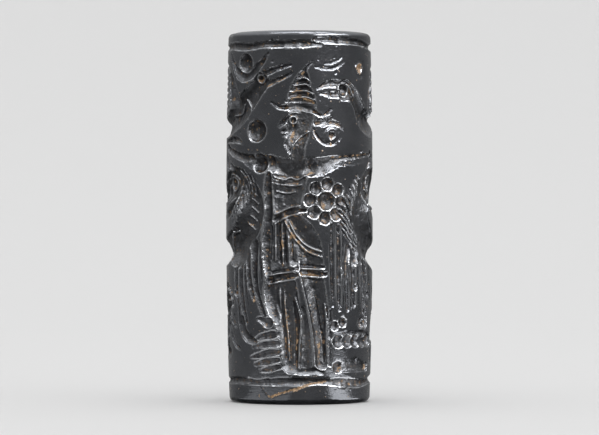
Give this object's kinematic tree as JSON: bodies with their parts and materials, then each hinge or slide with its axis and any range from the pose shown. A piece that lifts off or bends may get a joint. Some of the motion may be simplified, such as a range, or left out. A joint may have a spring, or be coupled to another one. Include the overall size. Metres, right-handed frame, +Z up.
{
  "type": "cylinder seal",
  "caption": "Engraved stone cylinder seal with a lengthwise bore, rolled over soft clay to print its carved scene.",
  "frame": {"origin": "centre of the lower end face, on the surface the seal stands on", "axes": "+Z up along the bore; -Y faces the viewer, with the carved man's figure in front; +X to the viewer's right"},
  "size_m": [0.0098, 0.0098, 0.0245],
  "materials": {
    "stone": "dark grey hematite, polished, rusty brown in the cuts"
  },
  "bodies": {
    "root": {"seal": "stone"}
  },
  "joints": []
}
